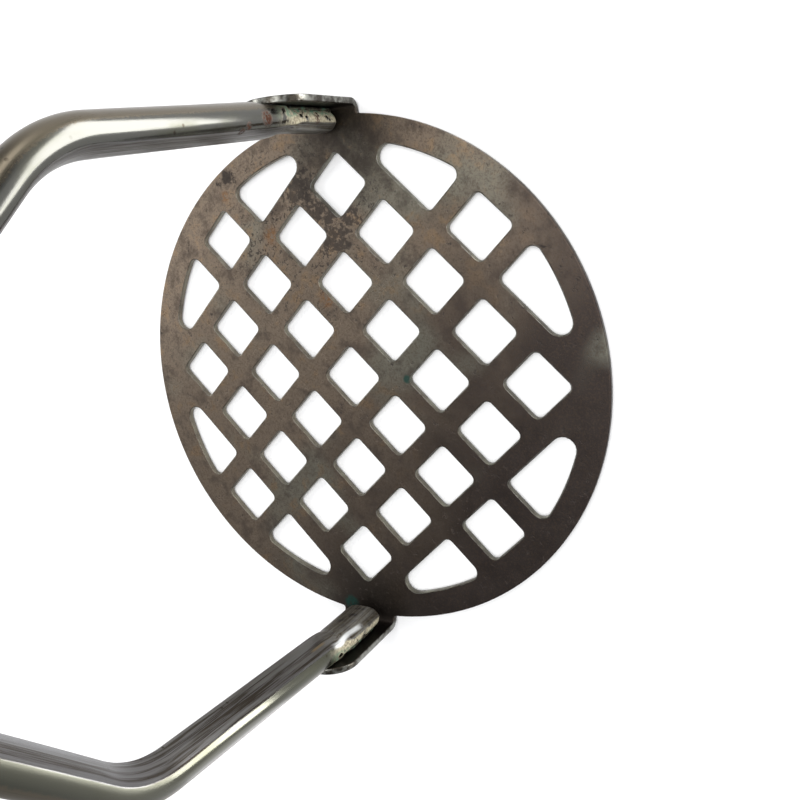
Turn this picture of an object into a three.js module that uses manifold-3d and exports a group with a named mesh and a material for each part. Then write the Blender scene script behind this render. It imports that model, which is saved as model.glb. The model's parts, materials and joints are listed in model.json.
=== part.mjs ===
// A potato masher: a round pressed-steel plate pierced with square holes, two bent rods that carry it, and a turned
// wooden handle with a steel ferrule and a hanging ring.
//
// Millimetres, +Z up along the handle. The origin is the centre of the plate's underside, the face that mashes.
// The plate's two ears stand at +X and -X, so both rods lie in the XZ plane. The ring swings about an axis along X.
import * as THREE from "three";
import { mergeVertices } from "three/addons/utils/BufferGeometryUtils.js";
import Module from "manifold-3d";

const wasm = await Module();
wasm.setup();

// ---- driving dimensions -------------------------------------------------------------------------------------------

const PLATE_RADIUS = 42;
const SHEET = 1; // thickness of the plate's steel
const PITCH = 11; // from hole to hole along the bars
const HOLE = 7.5; // side of a square hole
const HOLE_CORNER = 0.95;
const GRID_TURN = THREE.MathUtils.degToRad(43.75); // of the bars against the line between the ears
const GRID_OFFSET = { x: -0.22, y: -0.33 }; // of the grid's centre from the disc's, along the bars
const RIM_ARC_RADIUS = 37.75; // outer edge of the eight holes against the rim
const RIM_SHORT_CORNER = 1.4;
const RIM_NARROW_CORNER = 1.85;

const EAR_LEAN = THREE.MathUtils.degToRad(1.5); // towards the middle
const EAR_HALF_WIDTH = 4.9;
const EAR_HEIGHT = 18.9;
const EAR_BEND_START = 42; // where the flat plate ends and the bend begins
const EAR_INNER_BEND = 0.9;
const EAR_OFFSET = 0.7; // the rods stand this far to one side of the ears' middle

const LEG_LEAN = THREE.MathUtils.degToRad(5); // of the rods' lower legs, towards the middle

const ROD_HALF_WIDTH = 2.35;
const ROD_OUTER_DEPTH = 3.2; // the rounded side, from the rod's widest line
const ROD_INNER_DEPTH = 1.3; // the flattened side
const SHOULDER = { x: 35.9, z: 56.5, bend: 17 }; // the rod's widest line turns inwards here
const SHOULDER_ANGLE = THREE.MathUtils.degToRad(43.5); // of the upper leg from the handle's axis
const NECK_X = ROD_INNER_DEPTH + 0.2; // the rods' flattened sides nearly meet above the neck
const NECK_BEND = 13;
const TANG_TOP = 158;

const PADDLE_HALF_WIDTH = 3.25;
const PADDLE_OUTER_DEPTH = 2.3; // the rounded side, which beds on the ear
const PADDLE_INNER_DEPTH = 0.95;
const PADDLE_FOOT = { right: 0.15, left: 1.6 }; // along the ear, from the end of its bend
const PADDLE_TOP = 14;
const PADDLE_TAPER = 3.5;
const JOINT_GAP = 0.15; // between the ear and a rod's flattened end
const BRAZE_INSET = 0.35; // of the brazing from the flattened end's edges
const BRAZE_FOOT = 0.6; // of the brazing below the flattened end
const BRAZE_HEIGHT = 1.1;

const FERRULE_BOTTOM = 106;
const FERRULE_TOP = 125;
const FERRULE_RADIUS = 9;
const FERRULE_WALL = 0.8;
const HANDLE_TOP = 226;
const BORE_RADIUS = 5.2; // takes both rods side by side
const RIVET_RADIUS = 1.2;
const RIVET_HEIGHTS = [134, 149];
const RIVET_HOLE_RADIUS = RIVET_RADIUS + 0.3;
const RIVET_PROUD = 0.35;

const EYE_WIRE = 1.1;
const EYE_LOOP = 4.2; // radius of the loop's centreline
const EYE_CENTRE = HANDLE_TOP + EYE_LOOP + EYE_WIRE + 0.35;
const EYE_SHANK_DEPTH = 14;
const RING_WIRE = 1;
const RING_LOOP = 11.5;
const RING_PIVOT = EYE_CENTRE - EYE_LOOP + EYE_WIRE + RING_WIRE + 0.15;
const RING_REST = THREE.MathUtils.degToRad(53); // below level, where the ring lies against the handle

// ---- materials ----------------------------------------------------------------------------------------------------

const metal = (color, roughness) => new THREE.MeshStandardMaterial({ color, roughness, metalness: 1 });
const PLATE_STEEL = metal(0x7d7268, 0.45);
const ROD_STEEL = metal(0xa9a69a, 0.25);
const FITTING_STEEL = metal(0xb5b2a8, 0.3);
const BRAZE = metal(0x5f6f55, 0.6);
const WOOD = new THREE.MeshStandardMaterial({ color: 0xb07a45, roughness: 0.5, metalness: 0 });

// ---- solids -------------------------------------------------------------------------------------------------------

function solidOf(geometry) {
  const bare = geometry.clone();
  bare.deleteAttribute("normal");
  bare.deleteAttribute("uv");
  const merged = mergeVertices(bare, 1e-4);
  return new wasm.Manifold(
    new wasm.Mesh({
      numProp: 3,
      vertProperties: merged.attributes.position.array,
      triVerts: new Uint32Array(merged.index.array),
    }),
  );
}

function geometryOf(solid) {
  const mesh = solid.getMesh();
  const geometry = new THREE.BufferGeometry();
  geometry.setAttribute("position", new THREE.BufferAttribute(mesh.vertProperties, 3));
  geometry.setIndex(new THREE.BufferAttribute(mesh.triVerts, 1));
  geometry.computeVertexNormals();
  return geometry;
}

function extrude(shape, depth, curveSegments = 2) {
  return new THREE.ExtrudeGeometry(shape, { depth, bevelEnabled: false, curveSegments });
}

// A shape drawn in (x, z) becomes a slab of the given width across Y.
function slabAcrossY(shape, width, curveSegments) {
  return extrude(shape, width, curveSegments).rotateX(Math.PI / 2).translate(0, width / 2, 0);
}

// A shape drawn in (y, height) becomes a slab that runs from x0 to x1.
function slabAlongX(shape, x0, x1, curveSegments) {
  return extrude(shape, x1 - x0, curveSegments)
    .rotateX(Math.PI / 2)
    .rotateZ(Math.PI / 2)
    .translate(x0, 0, 0);
}

// A rod of circular section along X.
function cylinderAlongX(radius, length, sides) {
  return new THREE.CylinderGeometry(radius, radius, length, sides).rotateZ(Math.PI / 2);
}

// ---- plate --------------------------------------------------------------------------------------------------------

// A square hole with rounded corners, centred on the grid point (column, row).
function squareHole(column, row) {
  const half = HOLE / 2;
  const inset = half - HOLE_CORNER;
  const path = new THREE.Path();
  const corners = [
    [1, 1],
    [-1, 1],
    [-1, -1],
    [1, -1],
  ];
  corners.forEach(([sx, sy], turn) => {
    const start = (turn * Math.PI) / 2;
    const x = column * PITCH + sx * inset;
    const y = row * PITCH + sy * inset;
    path.absarc(x, y, HOLE_CORNER, start, start + Math.PI / 2, false);
  });
  return path;
}

// The hole at column 3, row 1: two straight sides along the bars and one along the rim. The others are its mirrors.
function rimHole() {
  const left = 3 * PITCH - HOLE / 2;
  const low = PITCH - HOLE / 2;
  const shortY = low + RIM_SHORT_CORNER;
  const shortX = Math.sqrt((RIM_ARC_RADIUS - RIM_SHORT_CORNER) ** 2 - shortY ** 2);
  const narrowX = left + RIM_NARROW_CORNER;
  const narrowY = Math.sqrt((RIM_ARC_RADIUS - RIM_NARROW_CORNER) ** 2 - narrowX ** 2);
  const shortAngle = Math.atan2(shortY, shortX);
  const narrowAngle = Math.atan2(narrowY, narrowX);
  const path = new THREE.Path();
  path.absarc(shortX, shortY, RIM_SHORT_CORNER, -Math.PI / 2, shortAngle, false);
  path.absarc(0, 0, RIM_ARC_RADIUS, shortAngle, narrowAngle, false);
  path.absarc(narrowX, narrowY, RIM_NARROW_CORNER, narrowAngle, Math.PI, false);
  path.absarc(left + HOLE_CORNER, low + HOLE_CORNER, HOLE_CORNER, Math.PI, 1.5 * Math.PI, false);
  return path;
}

// The pierced disc. It is drawn in the grid's own axes, then shifted and turned.
function piercedDisc() {
  const disc = new THREE.Shape();
  const RIM_SEGMENTS = 48;
  const rim = new THREE.Path().absarc(-GRID_OFFSET.x, -GRID_OFFSET.y, PLATE_RADIUS, 0, 2 * Math.PI, false);
  disc.setFromPoints(rim.getPoints(RIM_SEGMENTS));
  for (let column = -3; column <= 3; column++)
    for (let row = -3; row <= 3; row++) {
      const reach = Math.max(Math.abs(column), Math.abs(row));
      if (reach < 3 || column === 0 || row === 0) disc.holes.push(squareHole(column, row));
    }
  const outline = rimHole().getPoints(2);
  for (const sx of [1, -1])
    for (const sy of [1, -1])
      for (const swap of [false, true]) {
        const mirrored = outline.map((p) => new THREE.Vector2(sx * (swap ? p.y : p.x), sy * (swap ? p.x : p.y)));
        disc.holes.push(new THREE.Path(mirrored));
      }
  const sheet = extrude(disc, SHEET, 1).translate(GRID_OFFSET.x, GRID_OFFSET.y, 0);
  return solidOf(sheet.rotateZ(GRID_TURN));
}

// The ear's outline seen along X: a tongue with a round tip, flared where it leaves the rim.
function earOutline() {
  const flare = 0.4;
  const flareTop = SHEET + flare;
  const straightTop = EAR_HEIGHT - EAR_HALF_WIDTH;
  const outline = new THREE.Shape();
  outline.moveTo(EAR_HALF_WIDTH + flare, -1);
  outline.lineTo(EAR_HALF_WIDTH + flare, SHEET);
  outline.absarc(EAR_HALF_WIDTH + flare, flareTop, flare, 1.5 * Math.PI, Math.PI, true);
  outline.absarc(0, straightTop, EAR_HALF_WIDTH, 0, Math.PI, false);
  outline.absarc(-EAR_HALF_WIDTH - flare, flareTop, flare, 0, -Math.PI / 2, true);
  outline.lineTo(-EAR_HALF_WIDTH - flare, -1);
  return outline;
}

// The +X ear: the plate's sheet turned up through a right angle and the lean, then trimmed to its outline.
function ear() {
  const inner = EAR_INNER_BEND;
  const outer = inner + SHEET;
  const overlap = 3; // how far the strip runs back into the disc
  const length = EAR_HEIGHT;
  const along = new THREE.Vector2(-Math.sin(EAR_LEAN), Math.cos(EAR_LEAN));
  const centre = new THREE.Vector2(EAR_BEND_START, outer);
  const outward = new THREE.Vector2(Math.cos(EAR_LEAN), Math.sin(EAR_LEAN));
  const outerTop = centre.clone().addScaledVector(outward, outer).addScaledVector(along, length);
  const innerTop = centre.clone().addScaledVector(outward, inner).addScaledVector(along, length);
  const strip = new THREE.Shape();
  strip.moveTo(EAR_BEND_START - overlap, 0);
  strip.absarc(centre.x, centre.y, outer, -Math.PI / 2, EAR_LEAN, false);
  strip.lineTo(outerTop.x, outerTop.y);
  strip.lineTo(innerTop.x, innerTop.y);
  strip.absarc(centre.x, centre.y, inner, EAR_LEAN, -Math.PI / 2, true);
  strip.lineTo(EAR_BEND_START - overlap, SHEET);
  const width = 4 * EAR_HALF_WIDTH;
  const bent = solidOf(slabAcrossY(strip, width, 4));
  const tongue = solidOf(slabAlongX(earOutline(), EAR_BEND_START - overlap, PLATE_RADIUS + width, 6));
  return bent.intersect(tongue).translate([0, -EAR_OFFSET, 0]);
}

function plate() {
  const one = ear();
  return piercedDisc().add(one).add(one.rotate([0, 0, 180]));
}

// ---- rods ---------------------------------------------------------------------------------------------------------

class ArcInXZ extends THREE.Curve {
  constructor(centre, radius, from, to) {
    super();
    Object.assign(this, { centre, radius, from, to });
  }
  getPoint(t, target = new THREE.Vector3()) {
    const angle = this.from + t * (this.to - this.from);
    return target.set(
      this.centre.x + this.radius * Math.cos(angle),
      0,
      this.centre.z + this.radius * Math.sin(angle),
    );
  }
}

// The line of the +X rod's widest points: lower leg, shoulder bend, upper leg, neck bend and tang.
function rodPath(bottom) {
  const rise = (SHOULDER.x - NECK_X) / Math.tan(SHOULDER_ANGLE);
  const neck = { x: NECK_X, z: SHOULDER.z + rise };
  const lower = { x: -Math.sin(LEG_LEAN), z: Math.cos(LEG_LEAN) };
  const upper = { x: -Math.sin(SHOULDER_ANGLE), z: Math.cos(SHOULDER_ANGLE) };
  const point = (from, step, way) => new THREE.Vector3(from.x + step * way.x, 0, from.z + step * way.z);
  const shoulderCut = SHOULDER.bend * Math.tan((SHOULDER_ANGLE - LEG_LEAN) / 2);
  const neckCut = NECK_BEND * Math.tan(SHOULDER_ANGLE / 2);
  const shoulderStart = point(SHOULDER, -shoulderCut, lower);
  const shoulderEnd = point(SHOULDER, shoulderCut, upper);
  const neckStart = point(neck, -neckCut, upper);
  const neckEnd = new THREE.Vector3(NECK_X, 0, neck.z + neckCut);
  const shoulderCentre = {
    x: shoulderStart.x - SHOULDER.bend * Math.cos(LEG_LEAN),
    z: shoulderStart.z - SHOULDER.bend * Math.sin(LEG_LEAN),
  };
  const neckCentre = { x: NECK_X + NECK_BEND, z: neckEnd.z };
  const start = point(SHOULDER, -(SHOULDER.z - bottom) / Math.cos(LEG_LEAN), lower);
  const path = new THREE.CurvePath();
  path.add(new THREE.LineCurve3(start, shoulderStart));
  path.add(new ArcInXZ(shoulderCentre, SHOULDER.bend, LEG_LEAN, SHOULDER_ANGLE));
  path.add(new THREE.LineCurve3(shoulderEnd, neckStart));
  path.add(new ArcInXZ(neckCentre, NECK_BEND, Math.PI + SHOULDER_ANGLE, Math.PI));
  path.add(new THREE.LineCurve3(neckEnd, new THREE.Vector3(NECK_X, 0, TANG_TOP)));
  return path;
}

// Half round outside and flattened inside. Grown by spare for the brazing's clearance.
function rodSection(spare = 0) {
  const half = ROD_HALF_WIDTH + spare;
  const section = new THREE.Shape();
  section.absellipse(0, 0, half, ROD_OUTER_DEPTH + spare, 0, Math.PI, false, 0);
  section.absellipse(0, 0, half, ROD_INNER_DEPTH + spare, Math.PI, 2 * Math.PI, false, 0);
  return section;
}

const ROD_BOTTOM = 13;
const ROD_STEPS = 60;

function sweptRod(spare = 0) {
  const geometry = new THREE.ExtrudeGeometry(rodSection(spare), {
    steps: ROD_STEPS,
    extrudePath: rodPath(ROD_BOTTOM - spare),
    curveSegments: 3,
  });
  return solidOf(geometry);
}

// Takes a shape's solid, drawn along the ear with its face at x = 0, to the +X ear's inner face.
function ontoEar(geometry) {
  const x = EAR_BEND_START + EAR_INNER_BEND * Math.cos(EAR_LEAN);
  const z = EAR_INNER_BEND + SHEET + EAR_INNER_BEND * Math.sin(EAR_LEAN);
  return solidOf(geometry.rotateY(-EAR_LEAN).translate(x, 0, z));
}

// The flattened end of a rod, seen along X: a rounded foot that narrows to the rod's own width.
function paddleOutline(side) {
  const half = PADDLE_HALF_WIDTH;
  const foot = PADDLE_FOOT[side];
  const corner = 2.2;
  const outline = new THREE.Shape();
  outline.absarc(half - corner, foot + corner, corner, -Math.PI / 2, 0, false);
  outline.lineTo(half, PADDLE_TOP - PADDLE_TAPER);
  outline.lineTo(ROD_HALF_WIDTH, PADDLE_TOP);
  outline.lineTo(-ROD_HALF_WIDTH, PADDLE_TOP);
  outline.lineTo(-half, PADDLE_TOP - PADDLE_TAPER);
  outline.absarc(-half + corner, foot + corner, corner, Math.PI, 1.5 * Math.PI, false);
  return outline;
}

// The flattened end, rounded towards the ear and nearly flat inside. Grown by spare for the brazing's clearance.
function paddle(side, spare = 0) {
  const half = PADDLE_HALF_WIDTH + spare;
  const middle = -JOINT_GAP - PADDLE_OUTER_DEPTH;
  const section = new THREE.Shape();
  section.absellipse(middle, 0, PADDLE_OUTER_DEPTH + spare, half, -Math.PI / 2, Math.PI / 2, false, 0);
  section.absellipse(middle, 0, PADDLE_INNER_DEPTH + spare, half, Math.PI / 2, 1.5 * Math.PI, false, 0);
  const foot = PADDLE_FOOT[side] - spare;
  const bar = ontoEar(extrude(section, PADDLE_TOP - foot, 4).translate(0, 0, foot));
  if (spare) return bar;
  const thickness = PADDLE_OUTER_DEPTH + PADDLE_INNER_DEPTH + 1;
  return bar.intersect(ontoEar(slabAlongX(paddleOutline(side), -JOINT_GAP - thickness, 1, 3)));
}

// What the rod's rounded side gives up so that it lies against the ear.
function earSeat() {
  const seat = new THREE.Shape();
  const top = EAR_HEIGHT + 1.5;
  seat.moveTo(-JOINT_GAP, 0);
  seat.lineTo(-JOINT_GAP, top - 2.5);
  seat.lineTo(3, top + 3);
  seat.lineTo(6, 0);
  return ontoEar(slabAcrossY(seat, 4 * PADDLE_HALF_WIDTH, 2));
}

function rivetHole(z) {
  return solidOf(cylinderAlongX(RIVET_HOLE_RADIUS, 60, 16).translate(0, 0, z));
}

function rod(side) {
  let solid = sweptRod().subtract(earSeat()).add(paddle(side));
  for (const z of RIVET_HEIGHTS) solid = solid.subtract(rivetHole(z));
  return solid;
}

// The brazing fills the wedge between the flattened end's rounded side and the ear.
function brazing(side) {
  const clearance = 0.12;
  const bed = 0.25; // off the ear, clear of its bend
  const half = PADDLE_HALF_WIDTH - BRAZE_INSET;
  const corner = 1.8;
  const foot = PADDLE_FOOT[side] - BRAZE_FOOT;
  const top = EAR_HEIGHT - EAR_HALF_WIDTH;
  const outline = new THREE.Shape();
  outline.absarc(half - corner, foot + corner, corner, -Math.PI / 2, 0, false);
  outline.lineTo(half, top);
  outline.lineTo(-half, top);
  outline.absarc(-half + corner, foot + corner, corner, Math.PI, 1.5 * Math.PI, false);
  const bead = ontoEar(slabAlongX(outline, -BRAZE_HEIGHT, -bed, 3));
  return bead.subtract(paddle(side, clearance)).subtract(sweptRod(clearance));
}

// ---- handle -------------------------------------------------------------------------------------------------------

const SPIGOT_RADIUS = FERRULE_RADIUS - FERRULE_WALL - 0.3;
const HANDLE_BOTTOM = FERRULE_BOTTOM + FERRULE_WALL + 0.3;

// The turned outline above the ferrule, as (radius, z): a slim neck, a full palm swell, a waist and a rounded end.
function gripCurve() {
  const points = [
    [9.6, FERRULE_TOP + 0.4],
    [10.6, 132],
    [13.2, 148],
    [14.4, 166],
    [13.2, 184],
    [11.4, 199],
    [12.2, 210],
    [12.7, 216],
    [11.2, 222],
    [7.4, 225.2],
    [3.2, HANDLE_TOP],
  ];
  return new THREE.SplineCurve(points.map(([r, z]) => new THREE.Vector2(r, z)));
}

function gripRadius(z) {
  const points = gripCurve().getPoints(200);
  const above = points.findIndex((p) => p.y > z);
  const [a, b] = [points[above - 1], points[above]];
  return a.x + ((b.x - a.x) * (z - a.y)) / (b.y - a.y);
}

function handle() {
  const pilot = EYE_WIRE + 0.3;
  const boreEnd = TANG_TOP + 2;
  const profile = [
    [0, boreEnd],
    [BORE_RADIUS, boreEnd],
    [BORE_RADIUS, HANDLE_BOTTOM],
    [SPIGOT_RADIUS, HANDLE_BOTTOM],
    [SPIGOT_RADIUS, FERRULE_TOP + 0.4],
  ].map(([r, z]) => new THREE.Vector2(r, z));
  const GRIP_POINTS = 20;
  profile.push(...gripCurve().getPoints(GRIP_POINTS));
  profile.push(new THREE.Vector2(pilot, HANDLE_TOP));
  profile.push(new THREE.Vector2(pilot, HANDLE_TOP - EYE_SHANK_DEPTH - 0.5));
  profile.push(new THREE.Vector2(0, HANDLE_TOP - EYE_SHANK_DEPTH - 0.5));
  let solid = solidOf(lathe(profile, 28));
  for (const z of RIVET_HEIGHTS) solid = solid.subtract(rivetHole(z));
  return solid;
}

// A profile of (radius, z) points turned about Z.
function lathe(profile, sides) {
  return new THREE.LatheGeometry(profile, sides).rotateX(Math.PI / 2);
}

// A drawn cup with a round mouth for the rods and a small rolled lip at the wood.
function ferrule() {
  const corner = 1.6;
  const wall = FERRULE_WALL;
  const outline = new THREE.Path();
  outline.moveTo(BORE_RADIUS, FERRULE_BOTTOM);
  outline.absarc(FERRULE_RADIUS - corner, FERRULE_BOTTOM + corner, corner, -Math.PI / 2, 0, false);
  outline.lineTo(FERRULE_RADIUS, FERRULE_TOP - 1.6);
  outline.lineTo(FERRULE_RADIUS + 0.5, FERRULE_TOP - 0.9);
  outline.lineTo(FERRULE_RADIUS + 0.5, FERRULE_TOP);
  outline.lineTo(FERRULE_RADIUS - wall, FERRULE_TOP);
  outline.absarc(FERRULE_RADIUS - corner, FERRULE_BOTTOM + corner, corner - wall, 0, -Math.PI / 2, true);
  outline.lineTo(BORE_RADIUS, FERRULE_BOTTOM + wall);
  outline.closePath();
  return lathe(outline.getPoints(2), 28);
}

// A plain pin through the handle and both tangs, its ends peened into low domes.
function rivet(z) {
  const half = gripRadius(z) + RIVET_PROUD;
  const dome = 0.5;
  const profile = [
    [0, -half],
    [0.75 * RIVET_RADIUS, -half + 0.15],
    [RIVET_RADIUS, -half + dome],
    [RIVET_RADIUS, half - dome],
    [0.75 * RIVET_RADIUS, half - 0.15],
    [0, half],
  ].map(([r, along]) => new THREE.Vector2(r, along));
  return new THREE.LatheGeometry(profile, 12).rotateZ(Math.PI / 2).translate(0, 0, z);
}

// ---- hanging eye and ring -----------------------------------------------------------------------------------------

// A screw eye: a closed loop in the YZ plane on a shank that is driven into the handle's end.
function screwEye() {
  const loop = new THREE.TorusGeometry(EYE_LOOP, EYE_WIRE, 8, 20).rotateY(Math.PI / 2).translate(0, 0, EYE_CENTRE);
  const top = EYE_CENTRE - EYE_LOOP;
  const bottom = HANDLE_TOP - EYE_SHANK_DEPTH;
  const point = 3;
  const profile = [
    [0, bottom],
    [0.25 * EYE_WIRE, bottom + 0.2],
    [EYE_WIRE, bottom + point],
    [EYE_WIRE, top],
    [0, top],
  ].map(([r, z]) => new THREE.Vector2(r, z));
  return solidOf(loop).add(solidOf(lathe(profile, 12)));
}

// The ring hangs from the eye on the -Y side, RING_REST below level.
function ring() {
  return new THREE.TorusGeometry(RING_LOOP, RING_WIRE, 8, 36)
    .translate(0, -RING_LOOP, 0)
    .rotateX(RING_REST)
    .translate(0, 0, RING_PIVOT);
}

// ---- assembly -----------------------------------------------------------------------------------------------------

const masher = new THREE.Group();

function place(name, geometry, material, parent = masher) {
  const mesh = new THREE.Mesh(geometry, material);
  mesh.name = name;
  parent.add(mesh);
  return mesh;
}

place("mashing_plate", geometryOf(plate()), PLATE_STEEL);
for (const [side, turn] of [
  ["right", 0],
  ["left", Math.PI],
]) {
  const arm = new THREE.Group();
  arm.rotation.z = turn;
  masher.add(arm);
  place(`rod_${side}`, geometryOf(rod(side)), ROD_STEEL, arm);
  place(`brazing_${side}`, geometryOf(brazing(side)), BRAZE, arm);
}
place("ferrule", ferrule(), FITTING_STEEL);
place("wooden_handle", geometryOf(handle()), WOOD);
RIVET_HEIGHTS.forEach((z, i) => place(["lower_rivet", "upper_rivet"][i], rivet(z), FITTING_STEEL));
place("screw_eye", geometryOf(screwEye()), FITTING_STEEL);
place("hanging_ring", ring(), FITTING_STEEL);

export default masher;
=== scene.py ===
"""A potato masher: a pierced steel plate on two D-shaped rods, with a ferruled wooden handle and a ring.

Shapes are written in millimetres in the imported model's frame, +Z up along the handle, and become metres when
a mesh is made. Each visible piece is a surface worked out as whole arrays.
"""

import json
import math

import bpy
import numpy as np
from bpy.props import FloatProperty, FloatVectorProperty, PointerProperty
from mathutils import Matrix, Vector
from mathutils.geometry import delaunay_2d_cdt


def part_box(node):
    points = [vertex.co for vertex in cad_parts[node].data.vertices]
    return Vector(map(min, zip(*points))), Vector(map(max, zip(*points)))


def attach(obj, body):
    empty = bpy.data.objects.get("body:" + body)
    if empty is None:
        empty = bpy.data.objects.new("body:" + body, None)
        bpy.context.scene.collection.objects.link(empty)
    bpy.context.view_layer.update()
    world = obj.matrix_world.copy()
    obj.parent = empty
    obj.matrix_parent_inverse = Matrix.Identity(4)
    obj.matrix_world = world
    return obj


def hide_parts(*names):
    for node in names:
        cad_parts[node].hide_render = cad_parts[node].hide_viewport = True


bl_info = {
    "name": "Potato masher",
    "version": (1, 0, 0),
    "blender": (4, 5, 0),
    "location": "3D View > Sidebar > Masher",
    "description": "Builds the fine surfaces and finishes of a potato masher round its packed model",
    "category": "Add Mesh",
}

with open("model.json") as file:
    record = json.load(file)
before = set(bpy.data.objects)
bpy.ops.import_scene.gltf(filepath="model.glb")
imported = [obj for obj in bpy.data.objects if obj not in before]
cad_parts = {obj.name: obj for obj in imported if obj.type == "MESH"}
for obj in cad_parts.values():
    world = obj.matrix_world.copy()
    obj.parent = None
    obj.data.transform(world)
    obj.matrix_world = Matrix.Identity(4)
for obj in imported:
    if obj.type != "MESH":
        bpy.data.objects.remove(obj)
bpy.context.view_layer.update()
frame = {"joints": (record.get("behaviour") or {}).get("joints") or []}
MM = 0.001

# ---- sizes that the pieces share, in millimetres ---------------------------


def box_mm(node):
    """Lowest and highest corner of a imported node, in millimetres."""
    return [np.array(corner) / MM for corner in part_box(node)]


PLATE_HIGH = box_mm("mashing_plate")[1]
HANDLE_BOTTOM, HANDLE_TOP = [corner[2] for corner in box_mm("wooden_handle")]
FERRULE_BOTTOM, FERRULE_TOP = [corner[2] for corner in box_mm("ferrule")]

PLATE_RADIUS = PLATE_HIGH[1]
SHEET = 1.0
PITCH = 11.0
HOLE = 7.5
HOLE_CORNER = 0.95
RIM_ARC_RADIUS = 37.75  # outer side of the eight rim holes
RIM_SHORT_CORNER = 1.4
RIM_NARROW_CORNER = 1.85
GRID_TURN = math.radians(43.75)
GRID_OFFSET = np.array([-0.22, -0.33])

EAR_LEAN = math.radians(1.5)  # inward from upright
EAR_HALF_WIDTH = 4.9
EAR_HEIGHT = PLATE_HIGH[2]
EAR_BEND_START = 42.0
EAR_INNER_BEND = 0.9
EAR_OFFSET = 0.7  # of the ears' middles from the plate's
EAR_ROOT_FILLET = 0.4

TURNS = {"right": 1, "left": -1}  # the left side is the right one turned half round about Z
LEG_LEAN = math.radians(5)
ROD_RADIUS = 2.7
ROD_CENTRE = 1.1  # outward from the rod's path
ROD_CORNER = math.radians(46)  # from the inner face's normal to its corners
ROD_TWIST = math.radians(19)
SLOPE_TWIST = 0.4 * ROD_TWIST  # more of it on the slope
TWIST_RISE = (44, 62)  # heights between which it grows
TWIST_END = (92, 78)  # heights between which it fades
ROD_SHIFT = 0.35  # across, with the twist
PATTERN_START = {"right": 0, "left": 400}  # where each rod's streaks begin
ROD_INNER_DEPTH = ROD_RADIUS * math.cos(ROD_CORNER) - ROD_CENTRE
SHOULDER = np.array([35.9, 56.5])  # x and z where leg and slope would meet
SHOULDER_BEND = 17.0
SHOULDER_ANGLE = math.radians(43.5)  # of the slope, from upright
ROD_CROWN = 0.22  # rise of the inner face's middle
NECK_HALF_GAP = 0.1
NECK_X = ROD_INNER_DEPTH + ROD_CROWN + NECK_HALF_GAP
NECK_BEND = 13.0
TANG_TOP = 158.0

PADDLE_HALF_WIDTH = 3.25
PADDLE_OUTER_DEPTH = 2.3
PADDLE_INNER_DEPTH = 1.2
PADDLE_FOOT = {"right": 1.5, "left": 3.3}  # height of its lower end
FOOT_CORNER = {"right": 2.4, "left": 1.5}
PADDLE_EDGE = 0.7  # length over which its lower end thins
PADDLE_TAPER_START = 12.4
PADDLE_TOP = 15.8
JOINT_GAP = 0.15
BRAZE_WIDTH = 0.55  # half of it
BRAZE_DEPTH = 0.36
BRAZE_LIFT = 0.46  # of the bead's middle from the ear
TURNED_SIDES = 96

FERRULE_RADIUS = 9.0
RIVET_RADIUS = 1.2
RIVET_HEIGHTS = {"lower_rivet": 134.0, "upper_rivet": 149.0}
EYE_WIRE = 1.1
EYE_LOOP = 4.2
RING_WIRE = 1.0
RING_LOOP = 11.5
RING_REST = math.radians(53)
RING_PIVOT = np.array(frame["joints"][0]["pos_m"]) / MM

# ---- settings --------------------------------------------------------------


def size(name, default_mm, description):
    return FloatProperty(
        name=name,
        description=description,
        default=default_mm * MM,
        min=0.0,
        unit="LENGTH",
        subtype="DISTANCE",
    )


def colour(name, default, description):
    return FloatVectorProperty(
        name=name, description=description, default=default, size=3, min=0.0, max=1.0, subtype="COLOR"
    )


class MasherSizes(bpy.types.PropertyGroup):
    """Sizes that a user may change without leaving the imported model's box."""

    edge_round: size("Edge rounding", 0.16, "Rounding of the plate's cut edges")
    plate_waves: size("Plate waves", 0.03, "Height of the sheet's slight unevenness")
    groove_depth: size("Groove depth", 0.35, "Depth of the scribed lines round the handle")
    rod_waves: size("Rod waves", 0.035, "Height of the rods' slight unevenness")


class MasherFinishes(bpy.types.PropertyGroup):
    """Colours of the finishes."""

    plate: colour("Plate", (0.170, 0.132, 0.098), "Tarnished nickel on the plate's brown middle")
    plate_warm: colour("Plate, warm", (0.240, 0.160, 0.092), "Yellowish brown patches")
    # Dark tarnish mottle, and the painted shade on the plate's darker side.
    plate_dark: colour("Plate, dark", (0.036, 0.028, 0.025), "Tarnish on the plate's darkest side")
    plate_grey: colour("Plate, grey", (0.175, 0.175, 0.140), "Greenish grey towards the rim")
    cut_edge: colour("Cut edge", (0.20, 0.195, 0.155), "Bare metal on the walls of the holes")
    # Kept dark: partly painted shade, standing in for the dark surroundings that the plating reflects.
    nickel: colour("Nickel", (0.090, 0.089, 0.081), "Old plating on the rods")
    fitting: colour("Fitting", (0.40, 0.385, 0.33), "Bright plating on the ferrule, rivets, eye and ring")
    # Painted reflection: brownish surroundings reflected on the rods' outermost side.
    taupe: colour("Taupe", (0.118, 0.098, 0.070), "Brownish skin on the rods' outermost side")
    # Also painted over the left rod's outer side as painted shade.
    nickel_olive: colour("Nickel, olive", (0.062, 0.062, 0.042), "Yellowed plating")
    rod_inside: colour("Rod, inside", (0.19, 0.185, 0.175), "Drawn inner face of the rods")
    rust: colour("Rust", (0.060, 0.021, 0.011), "Rust spots and stains")
    verdigris: colour("Verdigris", (0.050, 0.170, 0.110), "Green corrosion at the joints")
    braze: colour("Brazing", (0.115, 0.105, 0.070), "Filler metal under its dull skin")
    wood: colour("Wood", (0.43, 0.215, 0.088), "Oiled beech")
    wood_dark: colour("Wood, dark", (0.155, 0.063, 0.024), "Grain, pores and handled places")
    floor: colour("Floor", (0.86, 0.86, 0.86), "Floor of the stage")


def sizes():
    return bpy.context.scene.masher_sizes


def finishes():
    return bpy.context.scene.masher_finishes


# ---- meshes from arrays ----------------------------------------------------


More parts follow.
